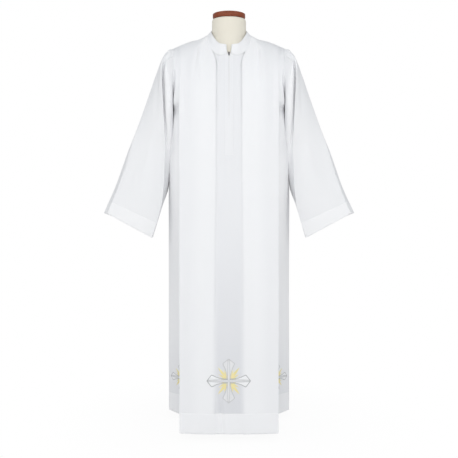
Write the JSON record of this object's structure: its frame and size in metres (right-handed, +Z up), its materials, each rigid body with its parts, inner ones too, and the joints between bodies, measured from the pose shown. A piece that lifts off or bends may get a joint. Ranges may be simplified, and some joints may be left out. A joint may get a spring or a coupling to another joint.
{
  "type": "alb robe on a dress form",
  "caption": "Long white alb with a low stand collar, short zip opening, front pleats and wide sleeves, hanging on a limbless dress form with a neck cap and a round base.",
  "frame": {"origin": "middle of the stand base's underside, on the floor", "axes": "+Z up; the wearer's front looks along -Y and the wearer's left arm is at +X"},
  "size_m": [0.9608, 0.4895, 1.548],
  "materials": {
    "cloth": "matte",
    "form_cover": "matte",
    "cap_wood": "satin",
    "stand_steel": "satin"
  },
  "bodies": {
    "root": {"front": "cloth", "back": "cloth", "sleeve_left": "cloth", "sleeve_right": "cloth", "collar": "cloth", "zip_placket": "cloth", "form_body": "form_cover", "neck_cap": "cap_wood", "stand_pole": "stand_steel", "stand_base": "stand_steel"}
  },
  "joints": []
}
